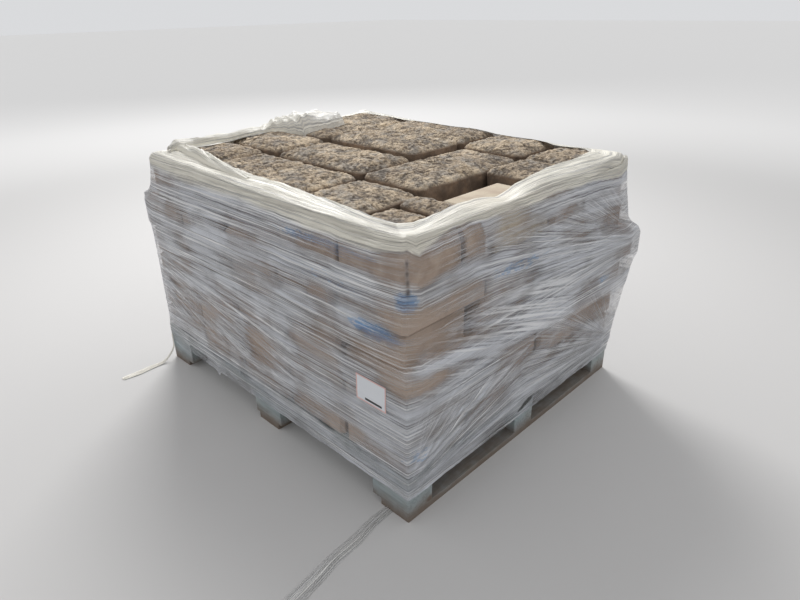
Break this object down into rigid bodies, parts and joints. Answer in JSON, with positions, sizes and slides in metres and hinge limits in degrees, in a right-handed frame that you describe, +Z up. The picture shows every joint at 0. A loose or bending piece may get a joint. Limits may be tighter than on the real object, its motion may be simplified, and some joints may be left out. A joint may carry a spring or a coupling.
{
  "type": "pallet of concrete blocks",
  "caption": "Concrete walling blocks with pitched faces, stacked in courses on a timber pallet and wrapped in stretch film, to be lifted by fork and laid in walls.",
  "frame": {"origin": "middle of the underside of the pallet, on the floor", "axes": "+Z up; X along the pallet's 1200 mm side; Y along its 1000 mm side, with the front at -Y"},
  "size_m": [1.2714, 1.399, 0.8479],
  "materials": {
    "concrete": "pitched and moulded concrete, tan to grey brown",
    "timber": "sawn softwood, weathered",
    "film": "clear stretch film in many layers, whitish and pleated",
    "label": "blank paper sticker"
  },
  "bodies": {
    "root": {"bottom_board_1": "timber", "bottom_board_2": "timber", "bottom_board_3": "timber", "pallet_block_1": "timber", "pallet_block_2": "timber", "pallet_block_3": "timber", "pallet_block_4": "timber", "pallet_block_5": "timber", "pallet_block_6": "timber", "pallet_block_7": "timber", "pallet_block_8": "timber", "pallet_block_9": "timber", "stringer_board_1": "timber", "stringer_board_2": "timber", "stringer_board_3": "timber", "deck_board_1": "timber", "deck_board_2": "timber", "deck_board_3": "timber", "deck_board_4": "timber", "deck_board_5": "timber", "deck_board_6": "timber", "deck_board_7": "timber", "block_course_1": "concrete", "block_course_2": "concrete", "block_course_3": "concrete", "block_course_4": "concrete", "block_course_5": "concrete", "block_course_6": "concrete", "film_wrap": "film", "film_bunch": "film", "film_tail_side": "film", "film_tail_front": "film", "label": "label"}
  },
  "joints": []
}
